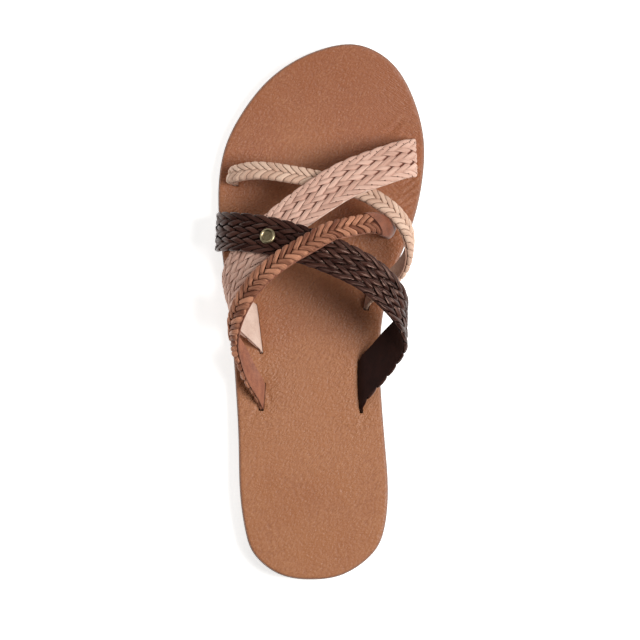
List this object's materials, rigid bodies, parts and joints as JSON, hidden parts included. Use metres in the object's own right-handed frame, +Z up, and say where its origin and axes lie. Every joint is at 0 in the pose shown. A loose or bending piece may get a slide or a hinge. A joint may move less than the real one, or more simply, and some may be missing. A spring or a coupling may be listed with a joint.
{
  "type": "slide sandal",
  "caption": "Flat slide sandal for a left foot: leather footbed on a rubber sole, with crossing braided leather straps and a small rivet where two of them cross.",
  "frame": {"origin": "centre of the bounding box in plan, on the plane that the sole stands on", "axes": "+Z up out of the footbed, -Y towards the toe, +X towards the outer (little toe) side"},
  "size_m": [0.0968, 0.248, 0.0561],
  "materials": {
    "brown_rubber": "matte moulded rubber, dark grey-brown",
    "tan_leather": "satin grained leather, warm tan",
    "natural_braid": "matte undyed leather braid",
    "blush_braid": "matte pale pink leather braid",
    "dark_braid": "satin dark brown leather braid",
    "tan_braid": "satin tan leather braid",
    "antique_brass": "polished antique brass, bare face"
  },
  "bodies": {
    "root": {"outsole": "brown_rubber", "insole": "tan_leather", "natural_strap": "natural_braid", "blush_strap": "blush_braid", "dark_strap": "dark_braid", "tan_strap": "tan_braid", "stud": "antique_brass"}
  },
  "joints": []
}
